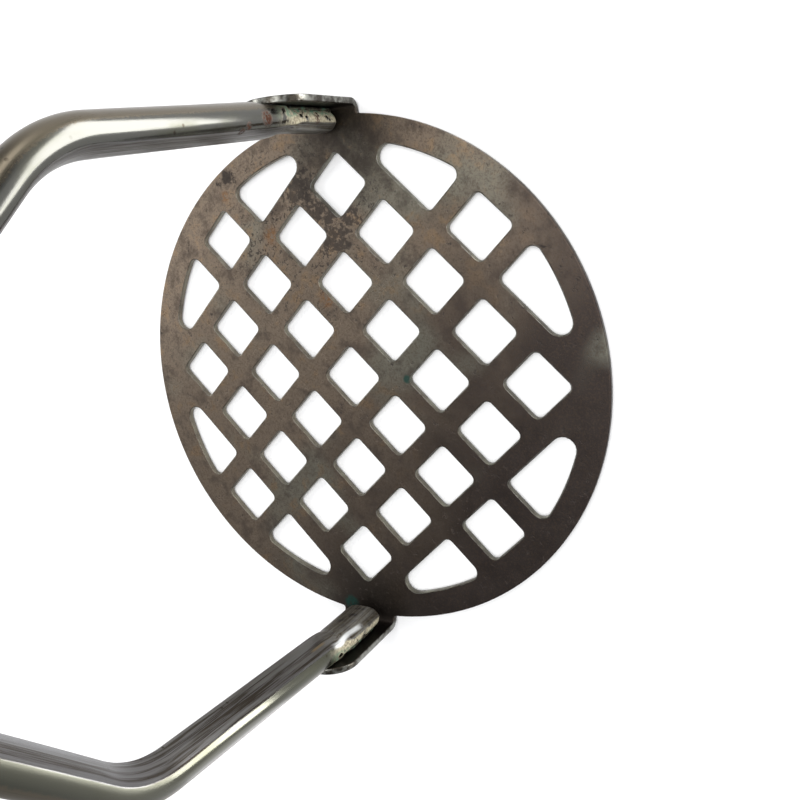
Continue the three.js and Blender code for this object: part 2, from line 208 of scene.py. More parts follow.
def signed_volume(points, faces):
    """Sum over each face's triangles of a dot (b cross c) / 6: positive where the faces point outwards."""
    total = 0.0
    for corners in faces:
        a = points[corners[:, 0]]
        for i in range(1, corners.shape[1] - 1):
            total += np.einsum("ij,ij->", a, np.cross(points[corners[:, i]], points[corners[:, i + 1]]))
    return total / 6


def make_piece(name, points, faces, material, node, slot, body="masher", **attributes):
    """One object from points in millimetres, a list of face index arrays and attributes given per point."""
    points = np.asarray(points, float)
    if signed_volume(points, faces) < 0:
        faces = [corners[:, ::-1] for corners in faces]
    mesh = bpy.data.meshes.new(name)
    mesh.from_pydata((points * MM).tolist(), [], [face for corners in faces for face in corners.tolist()])
    for key, values in attributes.items():
        values = np.asarray(values, np.float32)
        kind, field = ("FLOAT_VECTOR", "vector") if values.ndim == 2 else ("FLOAT", "value")
        mesh.attributes.new(key, kind, "POINT").data.foreach_set(field, values.ravel())
    mesh.polygons.foreach_set("use_smooth", [True] * len(mesh.polygons))
    mesh.validate()
    mesh.update()
    mesh.materials.append(material)
    piece = bpy.data.objects.new(name, mesh)
    bpy.context.scene.collection.objects.link(piece)
    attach(piece, body)
    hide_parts(node)


def grid_faces(rows, columns, closed_rows=False, first=0):
    """Quads between neighbouring points of a grid of rings, numbered row by row from first."""
    index = np.arange(rows * columns).reshape(rows, columns) + first
    index = np.concatenate([index, index[:, :1]], 1)
    if closed_rows:
        index = np.concatenate([index, index[:1]], 0)
    corners = [index[:-1, :-1], index[:-1, 1:], index[1:, 1:], index[1:, :-1]]
    return np.stack(corners, -1).reshape(-1, 4)


def fan_faces(ring, centre):
    """Triangles from a ring of point numbers to one centre point."""
    return np.stack([ring, np.roll(ring, -1), np.full_like(ring, centre)], 1)


def capped_tube(grid, ends=None):
    """Points and faces of a tube given as [along, around, xyz]. It closes to a point at either end: the end
    ring's middle, unless the points are given."""
    rows, columns = grid.shape[:2]
    count = rows * columns
    if ends is None:
        ends = np.concatenate([grid[:1].mean(1), grid[-1:].mean(1)])
    ring = np.arange(columns)
    fans = [fan_faces(ring, count)[:, ::-1], fan_faces(ring + count - columns, count + 1)]
    return np.concatenate([grid.reshape(-1, 3), ends]), [grid_faces(rows, columns), np.concatenate(fans)]


def turned(outline, sides):
    """A ring of points for each (radius, z) point of an outline: (radius cos angle, radius sin angle, z)."""
    angle = np.arange(sides) * 2 * np.pi / sides
    circle = np.stack([np.cos(angle), np.sin(angle)], -1)
    heights = np.broadcast_to(outline[:, None, 1:], (len(outline), sides, 1))
    return np.concatenate([outline[:, None, :1] * circle[None], heights], -1)


def lathe(profile, sides):
    """A profile of (radius, z) points turned about Z, with a radius of zero at both ends."""
    profile = np.asarray(profile, float)
    poles = np.array([[0, 0, profile[0, 1]], [0, 0, profile[-1, 1]]])
    return capped_tube(turned(profile[1:-1], sides), poles)


def unit_steps(path, closed=False):
    """Unit vectors along a path at each of its points."""
    step = np.roll(path, -1, 0) - np.roll(path, 1, 0) if closed else np.gradient(path, axis=0)
    return step / np.linalg.norm(step, axis=1, keepdims=True)


def right_of(step):
    """Plane vectors turned a quarter clockwise: (x, y) becomes (y, -x)."""
    return np.stack([step[:, 1], -step[:, 0]], -1)


def smoothstep(low, high, value):
    """0 below low, 1 above high, and 3t^2 - 2t^3 between."""
    t = np.clip((value - low) / (high - low), 0, 1)
    return t * t * (3 - 2 * t)


def waves(points, wavelength, seed):
    """A gentle unevenness between -1 and 1: the mean of six plane sine waves in seeded directions."""
    rng = np.random.default_rng(seed)
    directions = rng.normal(size=(6, 3))
    directions /= np.linalg.norm(directions, axis=1, keepdims=True)
    steps = 2 * np.pi / (wavelength * rng.uniform(0.7, 1.6, 6))
    phases = rng.uniform(0, 2 * np.pi, 6)
    return np.sin(points @ (directions * steps[:, None]).T + phases).mean(-1)


def arc(centre, radius, start, end, count):
    """Points on a circle's arc from one angle to another."""
    angle = np.linspace(start, end, count)
    return np.stack([centre[0] + radius * np.cos(angle), centre[1] + radius * np.sin(angle)], -1)


# ---- finishes --------------------------------------------------------------


class Finish:
    """A material with short names for the nodes that its pattern is made of."""

    def __init__(self, name, **settings):
        self.material = bpy.data.materials.new(name)
        self.material.use_nodes = True
        self.tree = self.material.node_tree
        self.shader = self.tree.nodes["Principled BSDF"]
        self.colour = None
        for socket, value in settings.items():
            self.shader.inputs[socket.replace("_", " ")].default_value = value

    def node(self, kind, inputs=(), **settings):
        """A new node. Inputs are (socket, value or output) pairs."""
        made = self.tree.nodes.new(kind)
        for key, value in settings.items():
            setattr(made, key, value)
        for socket, value in inputs:
            if isinstance(value, bpy.types.NodeSocket):
                self.tree.links.new(value, made.inputs[socket])
            else:
                made.inputs[socket].default_value = value
        return made

    def drive(self, socket, value):
        self.tree.links.new(value, self.shader.inputs[socket])

    def place(self, scale=(1.0, 1.0, 1.0), turn=0.0):
        """Object coordinates in millimetres, stretched and turned about Z."""
        coordinates = self.node("ShaderNodeTexCoord").outputs["Object"]
        factors = [s / MM for s in scale]
        inputs = [("Vector", coordinates), ("Scale", factors), ("Rotation", (0, 0, turn))]
        return self.node("ShaderNodeMapping", inputs).outputs[0]

    def flow(self, scale=(1.0, 1.0, 1.0)):
        """The piece's own straightened coordinates in millimetres: across, deep and along."""
        flow = self.node("ShaderNodeAttribute", attribute_name="flow").outputs["Vector"]
        return self.node("ShaderNodeMapping", [("Vector", flow), ("Scale", scale)]).outputs[0]

    def mask(self, name):
        return self.node("ShaderNodeAttribute", attribute_name=name).outputs["Fac"]

    def noise(self, vector, scale, detail=3.0, rough=0.55, warp=0.0):
        inputs = [("Vector", vector), ("Scale", scale), ("Detail", detail)]
        inputs += [("Roughness", rough), ("Distortion", warp)]
        return self.node("ShaderNodeTexNoise", inputs).outputs["Fac"]

    def cells(self, vector, scale, jitter=1.0):
        inputs = [("Vector", vector), ("Scale", scale), ("Randomness", jitter)]
        return self.node("ShaderNodeTexVoronoi", inputs).outputs["Distance"]

    def steps(self, value, low, high, out_low=0.0, out_high=1.0):
        """A smooth step of value from low to high."""
        inputs = [("Value", value), (1, low), (2, high), (3, out_low), (4, out_high)]
        return self.node("ShaderNodeMapRange", inputs, interpolation_type="SMOOTHSTEP").outputs["Result"]

    def calc(self, operation, a, b=0.0):
        return self.node("ShaderNodeMath", [(0, a), (1, b)], operation=operation).outputs[0]

    def times(self, a, b):
        return self.calc("MULTIPLY", a, b)

    def plus(self, a, b):
        return self.calc("ADD", a, b)

    def minus(self, a, b):
        return self.calc("SUBTRACT", a, b)

    def most(self, a, b):
        return self.calc("MAXIMUM", a, b)

    def axis(self, vector, name):
        return self.node("ShaderNodeSeparateXYZ", [(0, vector)]).outputs[name]

    def near(self, centre, inner, outer):
        """1 within inner millimetres of a point and 0 beyond outer."""
        inputs = [(0, self.place()), (1, centre)]
        distance = self.node("ShaderNodeVectorMath", inputs, operation="DISTANCE").outputs["Value"]
        return self.steps(distance, outer, inner)

    def any_near(self, spots):
        """The largest of near() over some (centre, inner, outer) spots."""
        found = self.near(*spots[0])
        for spot in spots[1:]:
            found = self.most(found, self.near(*spot))
        return found

    def within(self, value, middle, inner, outer):
        """1 where value is within inner of middle and 0 beyond outer."""
        return self.steps(self.calc("ABSOLUTE", self.minus(value, middle)), outer, inner)

    def blend(self, factor, a, b, how="MIX"):
        """A mix of two colours, given as outputs or as red, green and blue."""
        made = self.node("ShaderNodeMix", data_type="RGBA", blend_type=how, clamp_factor=True)
        for socket, value in ((made.inputs[0], factor), (made.inputs[6], a), (made.inputs[7], b)):
            if isinstance(value, bpy.types.NodeSocket):
                self.tree.links.new(value, socket)
            else:
                socket.default_value = (*value, 1.0) if hasattr(value, "__len__") else value
        return made.outputs[2]

    def paint(self, factor, tint):
        """Lays a colour over the colour so far."""
        self.colour = self.blend(factor, self.colour, tint)

    def relief(self, height, distance_mm, strength=1.0):
        """Height, from 0 to 1, as a bump of so many millimetres."""
        inputs = [("Height", height), ("Distance", distance_mm * MM), ("Strength", strength)]
        self.drive("Normal", self.node("ShaderNodeBump", inputs).outputs["Normal"])


# Centres, inner and outer radii, in millimetres.
PLATE_BLOTS = (
    ((31.0, 6.0, 1), 0.0, 6.5),
    ((27.5, 2.4, 1), 0.0, 6.5),
    ((22.5, 0.4, 1), 0.0, 6.0),
    ((26.2, -2.7, 1), 0.0, 3.6),
    ((34.7, 21.0, 1), 0.0, 3.2),
)
PLATE_RUST = (((31.4, 21.7, 1), 0.2, 1.4), ((24.1, 12.7, 1), 0.3, 2.2), ((13, 3, 1), 0.3, 2.0))
PLATE_GREEN = (((-0.1, -10.5, 1), 0.4, 0.9), ((-40.7, 4.0, 1), 0.8, 1.8))
ROD_RUST = (
    ((40.3, -2.9, 20.8), 0.6, 1.5),
    ((39.1, -3.0, 25.0), 0.2, 0.8),
    ((38.3, -2.6, 26.2), 0.2, 0.9),
    ((40.8, -3.1, 8.4), 0.3, 1.1),
    ((-38.0, -2.0, 22.0), 0.1, 0.7),
)


def plate_finish():
    """Tarnished nickel: brown with dark flecks, painted shade on one side, stained below the ears, the ears'
    faces painted almost black as shade, dull when cut.
    """
    made = Finish("tarnished_plate", Metallic=0.8, Roughness=0.4)
    tint = finishes()
    place = made.place()
    patches = made.noise(place, 0.055, detail=4, warp=0.6)
    mottle = made.noise(place, 0.30, detail=5, rough=0.66)
    flecks = made.noise(place, 1.6, detail=4, rough=0.7)
    grain = made.noise(place, 3.4, detail=3, rough=0.7)
    # Painted shade: darker towards the plate's -X -Y side, mixed with random tarnish patches.
    shade_falloff = [(0, place), (1, (-0.0095, -0.0165, 0))]
    slope = made.node("ShaderNodeVectorMath", shade_falloff, operation="DOT_PRODUCT")
    shade = made.plus(slope.outputs["Value"], made.times(patches, 0.8))
    made.colour = made.blend(made.steps(shade, 0.22, 1.0), tint.plate, tint.plate_dark)
    greyness = made.times(made.steps(made.noise(place, 0.045, detail=2), 0.52, 0.68), 0.6)
    made.paint(greyness, tint.plate_grey)
    made.paint(made.steps(mottle, 0.47, 0.68, 0.0, 0.6), tint.plate_dark)
    warm = made.times(made.steps(mottle, 0.46, 0.34, 0.0, 0.55), made.steps(shade, 0.75, 0.4))
    made.paint(warm, tint.plate_warm)
    made.paint(made.steps(grain, 0.47, 0.62, 0.0, 0.45), (0.060, 0.042, 0.030))
    # Dark blots and the flecks round them.
    ragged = made.plus(made.times(flecks, 2.6), made.times(made.noise(place, 0.7), 2.4))
    blots = made.steps(made.plus(made.any_near(PLATE_BLOTS), ragged), 2.85, 3.35)
    speckle_area = made.plus(made.near((24, 6, 1), 3, 26), made.times(patches, 0.35))
    pits = made.times(made.steps(flecks, 0.54, 0.62), made.steps(speckle_area, 0.25, 0.9, 0.12, 1.0))
    dark = made.most(made.times(blots, 0.8), made.times(pits, 0.8))
    made.paint(dark, (0.026, 0.020, 0.017))
    stains = made.most(made.near((38, -3, 1), 4, 13), made.near((-41, 0, 1), 3, 14))
    stains = made.times(stains, made.steps(mottle, 0.25, 0.6, 0.45, 0.9))
    made.paint(stains, (0.034, 0.027, 0.022))
    rust = made.times(made.any_near(PLATE_RUST), made.steps(flecks, 0.42, 0.56))
    made.paint(made.times(rust, 0.8), (0.170, 0.082, 0.032))
    # Painted shade: the ears' faces above the plate are painted almost black, for the shadow on their inner
    # faces.
    ears = made.times(made.steps(made.axis(place, "Z"), 1.3, 3.5), made.steps(made.mask("wall"), 0.25, 0.05))
    made.paint(made.times(ears, 0.95), (0.014, 0.012, 0.010))
    green = made.times(made.any_near(PLATE_GREEN), made.steps(flecks, 0.36, 0.46))
    made.paint(made.times(green, 0.9), (0.005, 0.040, 0.030))
    # Cut edges: bare in the holes, patchy round the ears.
    holes = made.times(made.steps(made.mask("wall"), 0.6, 0.9), made.steps(mottle, 0.3, 0.6, 0.9, 0.35))
    made.paint(holes, tint.cut_edge)
    rim = made.times(made.steps(made.mask("wall"), 0.3, 0.45), made.steps(made.mask("wall"), 0.75, 0.55))
    patchy = made.steps(made.noise(place, 0.5, detail=3), 0.40, 0.60)
    made.paint(rim, made.blend(patchy, (0.036, 0.031, 0.024), (0.200, 0.200, 0.180)))
    made.drive("Base Color", made.colour)
    rough = made.plus(made.steps(mottle, 0.3, 0.8, 0.34, 0.52), made.times(dark, 0.25))
    made.drive("Roughness", made.minus(rough, made.times(rim, 0.12)))
    made.drive("Metallic", made.minus(0.88, made.times(made.most(dark, green), 0.25)))
    made.relief(made.minus(made.times(grain, 0.45), dark), 0.05, 0.6)
    return made.material


def rod_finish():
    """Old plating, with a painted brownish reflection on the outermost side, a streaked inner face and a crust
    at the joint.
    """
    made = Finish("nickel_rod", Metallic=1.0, Roughness=0.2)
    tint = finishes()
    place, flow = made.place(), made.flow()
    x, y, z, out = made.axis(place, "X"), made.axis(place, "Y"), made.axis(place, "Z"), made.axis(flow, "Y")
    streak = made.noise(made.flow((1.3, 1.3, 0.035)), 1.0, detail=5, rough=0.62)
    fine = made.noise(made.flow((6.5, 6.5, 0.10)), 1.0, detail=3, rough=0.6)
    patches = made.noise(made.flow((0.16, 0.16, 0.06)), 1.0, detail=4, rough=0.6)
    lumps = made.noise(place, 0.75, detail=4, rough=0.65)
    grain = made.noise(place, 2.8, detail=3, rough=0.7)
    inner, foot = made.mask("inner"), made.mask("foot")
    left = made.steps(x, 12, -12)
    # The outer side, with the left rod's outer side painted darker olive as painted shade.
    outside = made.blend(made.steps(patches, 0.45, 0.72, 0.0, 0.8), tint.nickel, tint.nickel_olive)
    outside = made.blend(made.times(left, 0.6), outside, tint.nickel_olive)
    # Painted reflection: a brownish band along the rods' outermost side.
    taupe = made.steps(made.plus(out, made.times(grain, 0.8)), 2.7, 3.15)
    outside = made.blend(made.times(taupe, 0.85), outside, tint.taupe)
    outside = made.blend(made.steps(streak, 0.56, 0.68, 0.0, 0.4), outside, tint.nickel_olive)
    # The drawn inner side, with a small brass-coloured painted reflection on the left rod.
    inside = made.blend(made.steps(streak, 0.42, 0.55), tint.rod_inside, (0.060, 0.050, 0.040))
    inside = made.blend(made.steps(fine, 0.5, 0.62, 0.0, 0.55), inside, (0.24, 0.24, 0.25))
    # Painted light: on the slope the left rod's inner face is painted lighter between its streaks; its outer
    # side there is also rougher, and its inner face a little less metallic.
    dull = made.times(left, made.steps(z, 49, 59))
    dull_inside = made.times(dull, inner)
    slope_painted_light = made.times(dull, made.steps(streak, 0.60, 0.44, 0.1, 0.7))
    inside = made.blend(slope_painted_light, inside, (0.20, 0.20, 0.21))
    # Painted reflection: a small brass-coloured band on the left rod's inner face.
    brass_reflection = made.times(made.within(z, 19.2, 0.8, 2.4), made.within(y, -0.75, 0.05, 0.3))
    inside = made.blend(made.times(brass_reflection, left), inside, (0.30, 0.23, 0.14))
    made.colour = made.blend(inner, outside, inside)
    # The joint: pale crust with green towards the ear and rust spots above it; then a painted highlight along
    # the edge of the left paddle's inner face.
    crust = made.times(foot, made.steps(lumps, 0.36, 0.50))
    made.paint(crust, made.blend(made.steps(grain, 0.4, 0.62), (0.44, 0.40, 0.28), (0.22, 0.18, 0.12)))
    green = made.times(made.times(foot, made.steps(out, 0.7, 1.5, 0.05, 1.0)), made.steps(lumps, 0.47, 0.56))
    made.paint(made.times(green, 0.85), tint.verdigris)
    rust = made.times(made.any_near(ROD_RUST), made.steps(grain, 0.36, 0.52))
    made.paint(made.times(rust, 0.9), tint.rust)
    # Painted highlight: a near-white streak along the edge of the left paddle's inner face.
    crease_line = made.minus(y, made.times(z, 0.08))
    crease_highlight = made.times(made.within(z, 13.0, 2.5, 4.5), made.within(crease_line, -3.3, 0.15, 0.5))
    crease_highlight = made.times(made.times(crease_highlight, left), made.steps(out, 0.6, 0.1))
    made.paint(crease_highlight, (0.95, 0.97, 0.97))
    specks = made.steps(made.cells(place, 0.55), 0.16, 0.08)
    specks = made.times(specks, made.steps(patches, 0.44, 0.6, 0.0, 0.8))
    made.paint(specks, (0.035, 0.028, 0.020))
    made.drive("Base Color", made.colour)
    corroded = made.most(made.most(rust, green), crust)
    rough = made.plus(made.steps(patches, 0.4, 0.75, 0.12, 0.22), made.times(inner, 0.16))
    rough = made.plus(rough, made.times(taupe, 0.12))
    rough = made.plus(rough, made.times(corroded, 0.6))
    rough = made.plus(rough, made.times(made.minus(dull, dull_inside), 0.2))
    made.drive("Roughness", made.plus(rough, made.times(fine, 0.07)))
    earthy = made.most(made.times(made.most(green, crust), 0.85), made.times(dull_inside, 0.15))
    made.drive("Metallic", made.minus(1.0, earthy))
    lines = made.times(made.plus(streak, fine), made.plus(made.times(inner, 0.8), 0.12))
    made.relief(made.plus(lines, made.times(grain, 0.12)), 0.05, 0.6)
    return made.material


def braze_finish():
    """Dull filler metal, half of it under green and brown corrosion."""
    made = Finish("brazing_filler", Metallic=0.6, Roughness=0.55)
    tint = finishes()
    place = made.place()
    lumps = made.noise(place, 0.9, detail=4, rough=0.65)
    crust = made.noise(place, 2.4, detail=4, rough=0.7)
    made.colour = made.blend(made.steps(lumps, 0.4, 0.6), (0.030, 0.025, 0.020), tint.braze)
    green = made.steps(made.plus(made.times(lumps, 0.7), made.times(crust, 0.3)), 0.5, 0.62)
    made.paint(made.times(green, 0.8), tint.verdigris)
    made.drive("Base Color", made.colour)
    made.drive("Roughness", made.steps(crust, 0.3, 0.7, 0.45, 0.8))
    made.drive("Metallic", made.minus(0.8, made.times(green, 0.7)))
    made.relief(made.plus(lumps, made.times(crust, 0.5)), 0.12, 0.7)
    return made.material


def fitting_finish():
    """Bright plating with turning marks, a yellow cast in patches and a few dark specks."""
    made = Finish("nickel_fitting", Metallic=1.0, Roughness=0.22)
    tint = finishes()
    place = made.place()
    patches = made.noise(place, 0.16, detail=4, rough=0.6)
    turned = made.noise(made.place(scale=(0.12, 0.12, 4.0)), 1.0, detail=3, rough=0.6)
    made.colour = made.blend(made.steps(patches, 0.46, 0.7, 0.0, 0.7), tint.fitting, (0.24, 0.23, 0.165))
    specks = made.steps(made.cells(place, 0.5), 0.15, 0.07)
    specks = made.times(specks, made.steps(patches, 0.45, 0.6))
    made.paint(made.times(specks, 0.8), tint.rust)
    made.drive("Base Color", made.colour)
    made.drive("Roughness", made.plus(made.steps(patches, 0.35, 0.7, 0.15, 0.32), made.times(turned, 0.08)))
    made.drive("Metallic", made.minus(1.0, made.times(specks, 0.7)))
    made.relief(turned, 0.02, 0.5)
    return made.material


def plated_piece(name, points, faces, node, body="masher"):
    """A plated fitting. All fittings share one finish."""
    finish = bpy.data.materials.get("nickel_fitting") or fitting_finish()
    make_piece(name, points, faces, finish, node, "fitting_steel", body)


def wood_finish():
    """Oiled beech: rings stretched along the handle, short dark pores, and grime at its ends."""
    made = Finish("oiled_beech", Roughness=0.45, Specular_IOR_Level=0.4, Coat_Weight=0.12, Coat_Roughness=0.3)
    tint = finishes()
    place = made.place()
    drift = made.noise(made.place(scale=(0.05, 0.05, 0.008)), 1.0, detail=3)
    tilted = made.place(scale=(0.30, 0.075, 0.012), turn=0.5)
    drift = made.node("ShaderNodeCombineXYZ", [(0, drift)]).outputs[0]
    warped = made.node("ShaderNodeVectorMath", [(0, tilted), (1, drift)], operation="ADD").outputs[0]
    rings = made.noise(warped, 1.6, detail=6, rough=0.62)
    fibres = made.noise(made.place(scale=(2.6, 2.6, 0.09)), 1.0, detail=4, rough=0.65)
    pores = made.steps(made.noise(made.place(scale=(3.2, 3.2, 0.28)), 1.0, detail=2), 0.66, 0.74)
    made.colour = made.blend(made.steps(rings, 0.38, 0.66, 0.0, 0.8), tint.wood, tint.wood_dark)
    made.paint(made.steps(fibres, 0.35, 0.75, 0.0, 0.35), tint.wood_dark)
    made.paint(made.times(pores, 0.7), (0.045, 0.018, 0.008))
    height = made.axis(place, "Z")
    grime = made.most(made.steps(height, 133, 125), made.steps(height, 219, 227))
    grime = made.times(grime, made.steps(made.noise(place, 0.2, detail=4), 0.3, 0.7, 0.35, 0.85))
    made.paint(grime, (0.050, 0.024, 0.012))
    grooves = made.times(made.mask("groove"), 0.85)
    made.paint(grooves, (0.030, 0.013, 0.007))
    worn = made.steps(made.noise(made.place(scale=(0.07, 0.07, 0.03)), 1.0, detail=3), 0.5, 0.72, 0.0, 0.35)
    made.paint(worn, (0.52, 0.30, 0.145))
    made.drive("Base Color", made.colour)
    made.drive("Roughness", made.plus(made.steps(fibres, 0.3, 0.8, 0.36, 0.55), made.times(worn, 0.3)))
    made.relief(made.minus(made.times(fibres, 0.4), pores), 0.06, 0.55)
    return made.material


# ---- plate -----------------------------------------------------------------


def square_hole(column, row):
    """A square with round corners, centred on the grid point (column, row)."""
    inset = HOLE / 2 - HOLE_CORNER
    corners = [(1, 1), (-1, 1), (-1, -1), (1, -1)]
    centre = np.array([column, row]) * PITCH
    turns = [
        arc(centre + np.array(c) * inset, HOLE_CORNER, i * np.pi / 2, (i + 1) * np.pi / 2, 7)
        for i, c in enumerate(corners)
    ]
    return np.concatenate(turns)


def rim_hole():
    """The hole at column 3, row 1: two sides along the bars and one on a circle, with round corners."""
    left, low = 3 * PITCH - HOLE / 2, PITCH - HOLE / 2
    short_y = low + RIM_SHORT_CORNER
    short_x = math.sqrt((RIM_ARC_RADIUS - RIM_SHORT_CORNER) ** 2 - short_y**2)
    narrow_x = left + RIM_NARROW_CORNER
    narrow_y = math.sqrt((RIM_ARC_RADIUS - RIM_NARROW_CORNER) ** 2 - narrow_x**2)
    short_angle, narrow_angle = math.atan2(short_y, short_x), math.atan2(narrow_y, narrow_x)
    corner = (left + HOLE_CORNER, low + HOLE_CORNER)
    return np.concatenate(
        [
            arc((short_x, short_y), RIM_SHORT_CORNER, -np.pi / 2, short_angle, 9),
            arc((0, 0), RIM_ARC_RADIUS, short_angle, narrow_angle, 16)[1:-1],
            arc((narrow_x, narrow_y), RIM_NARROW_CORNER, narrow_angle, np.pi, 9),
            arc(corner, HOLE_CORNER, np.pi, 1.5 * np.pi, 7),
        ]
    )


def holes():
    """Every hole's outline in the plate's own axes, anticlockwise."""
    grid = [
        square_hole(i, j)
        for i in range(-3, 4)
        for j in range(-3, 4)
        if max(abs(i), abs(j)) < 3 or i == 0 or j == 0
    ]
    mirrors = [(sx, sy, swap) for sx in (1, -1) for sy in (1, -1) for swap in (False, True)]
    for sx, sy, swap in mirrors:
        outline = rim_hole()[:, ::-1] if swap else rim_hole()
        outline = outline * (sx, sy)
        grid.append(outline if (sx * sy > 0) != swap else outline[::-1])
    cos, sin = math.cos(GRID_TURN), math.sin(GRID_TURN)
    turn = np.array([[cos, sin], [-sin, cos]])
    return [(outline + GRID_OFFSET) @ turn for outline in grid]


EAR_NEUTRAL = EAR_INNER_BEND + SHEET / 2
EAR_TURN = math.pi / 2 + EAR_LEAN
EAR_FLAT = EAR_BEND_START + EAR_NEUTRAL * EAR_TURN  # the flat blank's x where the bend ends


def blank_outline():
    """The disc with both ears as a flat blank: round rim, small fillets at the roots, and half-round tips."""
    bend_height = SHEET + EAR_INNER_BEND + EAR_INNER_BEND * math.sin(EAR_LEAN)
    tip = EAR_FLAT + EAR_HEIGHT - bend_height - EAR_HALF_WIDTH
    parts = []
    for way in (1, -1):
        middle = -EAR_OFFSET
        reach = PLATE_RADIUS + EAR_ROOT_FILLET
        low, high = middle - EAR_HALF_WIDTH - EAR_ROOT_FILLET, middle + EAR_HALF_WIDTH + EAR_ROOT_FILLET
        low_x, high_x = math.sqrt(reach**2 - low**2), math.sqrt(reach**2 - high**2)
        low_angle, high_angle = math.atan2(low, low_x), math.atan2(high, high_x)
        side_count = 44
        starts = np.linspace(low_x + 0.5, tip - 0.3, side_count)
        ends = np.linspace(tip - 0.3, high_x + 0.5, side_count)
        half = np.concatenate(
            [
                arc((low_x, low), EAR_ROOT_FILLET, low_angle + np.pi, np.pi / 2, 6),
                np.stack([starts, np.full(side_count, middle - EAR_HALF_WIDTH)], -1),
                arc((tip, middle), EAR_HALF_WIDTH, -np.pi / 2, np.pi / 2, 25),
                np.stack([ends, np.full(side_count, middle + EAR_HALF_WIDTH)], -1),
                arc((high_x, high), EAR_ROOT_FILLET, -np.pi / 2, high_angle - np.pi, 6),
                arc((0, 0), PLATE_RADIUS, high_angle, low_angle + np.pi, 122)[1:-1],
            ]
        )
        parts.append(half * way)
    return np.concatenate(parts)


def outward_normals(outline):
    """Unit normals to the right of a closed outline's direction of travel."""
    return right_of(unit_steps(outline, closed=True))


def inside(points, outline):
    """True where a point lies inside a closed outline, by counting the edges that a ray to +X crosses."""
    a, b = outline, np.roll(outline, -1, 0)
    x, y = points[:, :1], points[:, 1:]
    crosses = (a[:, 1] > y) != (b[:, 1] > y)
    rise = np.where(b[:, 1] == a[:, 1], 1.0, b[:, 1] - a[:, 1])
    meets = a[:, 0] + (y - a[:, 1]) * (b[:, 0] - a[:, 0]) / rise
    return (crosses & (x < meets)).sum(1) % 2 == 1


def bend_ears(points):
    """Rolls everything beyond the bend line round the bend's centre: angle = distance / neutral radius, up to
    the bend's end, and carries the rest straight on. Both ears are bent alike, each on its own side."""
    side = np.sign(points[:, 0])
    reach = np.abs(points[:, 0]) - EAR_BEND_START
    angle = np.clip(reach / EAR_NEUTRAL, 0, EAR_TURN)
    radius = EAR_INNER_BEND + SHEET - points[:, 2]
    straight = np.maximum(reach - EAR_NEUTRAL * EAR_TURN, 0)
    x = EAR_BEND_START + radius * np.sin(angle) + straight * np.cos(angle)
    z = EAR_INNER_BEND + SHEET - radius * np.cos(angle) + straight * np.sin(angle)
    x = np.where(reach > 0, side * x, points[:, 0])
    z = np.where(reach > 0, z, points[:, 2])
    return np.stack([x, points[:, 1], z], -1)


def fill_points(border, outlines):
    """A grid of points, finer across the bends, that lie in the metal and clear of every outline."""
    spacing, clear = 1.5, 0.45
    lines = np.arange(-EAR_BEND_START + 0.75, EAR_BEND_START, spacing)
    bend_lines = np.linspace(EAR_BEND_START, EAR_FLAT, 9)
    ear_lines = np.arange(EAR_FLAT + spacing, EAR_FLAT + EAR_HEIGHT, spacing)
    xs = np.concatenate([-ear_lines, -bend_lines, lines, bend_lines, ear_lines])
    ys = np.arange(-PLATE_RADIUS, PLATE_RADIUS, spacing)
    fill = np.stack(np.meshgrid(xs, ys), -1).reshape(-1, 2)
    near = np.full(len(fill), np.inf)
    for chunk in np.array_split(np.arange(len(border)), 12):
        near = np.minimum(near, np.linalg.norm(fill[:, None] - border[None, chunk], axis=2).min(1))
    return fill[(near > clear) & in_metal(fill, outlines)]


def in_metal(points, outlines):
    """True inside the first outline and outside all the others."""
    solid = inside(points, outlines[0])
    for outline in outlines[1:]:
        solid &= ~inside(points, outline)
    return solid


def face_triangles(border, fill, loops):
    """Triangles over the metal between closed loops of border points, facing up."""
    flat = np.concatenate([border, fill])
    edges = [np.stack([np.arange(a, b), np.roll(np.arange(a, b), -1)], 1) for a, b in zip(loops, loops[1:])]
    result = delaunay_2d_cdt(flat.tolist(), np.concatenate(edges).tolist(), [], 0, 1e-6)
    triangles = np.array(result[2])
    vertices = np.array([tuple(v) for v in result[0]])
    if len(vertices) != len(flat):
        raise RuntimeError("the plate's outlines cross or meet")
    insets = [border[a:b] for a, b in zip(loops, loops[1:])]
    triangles = triangles[in_metal(vertices[triangles].mean(1), insets)]
    corner = vertices[triangles[:, 0]]
    area = np.cross(vertices[triangles[:, 1]] - corner, vertices[triangles[:, 2]] - corner)
    return np.where(area[:, None] > 0, triangles, triangles[:, ::-1])


